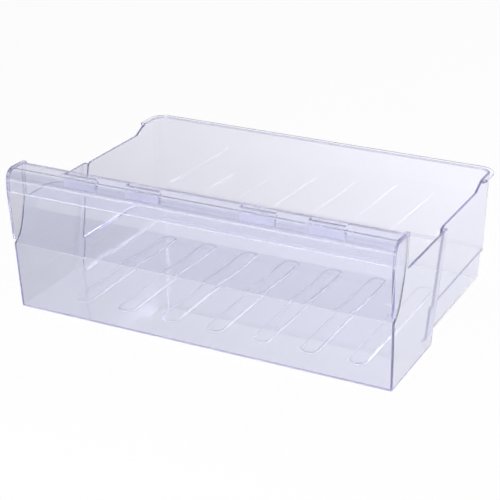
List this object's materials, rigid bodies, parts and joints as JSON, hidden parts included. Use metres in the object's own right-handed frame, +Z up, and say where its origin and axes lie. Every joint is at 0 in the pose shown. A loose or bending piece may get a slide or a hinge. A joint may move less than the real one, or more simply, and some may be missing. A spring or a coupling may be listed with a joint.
{
  "type": "freezer drawer",
  "caption": "Clear plastic freezer drawer: a thin open tub with a stepped body, ribbed floor and S-curved rear rim, and a slotted grip handle clipped along the top of its curved front recess.",
  "frame": {"origin": "middle of the outer box's bottom face, on the plane the drawer rests on", "axes": "+X to the drawer's right as seen from in front, +Y from the front panel to the back wall, +Z up"},
  "size_m": [0.4346, 0.3166, 0.1613],
  "materials": {
    "clear_tub": "clear polystyrene, polished, with a faint lilac tint",
    "clear_handle": "clear polystyrene, polished, with a faint lilac tint"
  },
  "bodies": {
    "root": {"drawer_tub": "clear_tub", "handle": "clear_handle"}
  },
  "joints": []
}
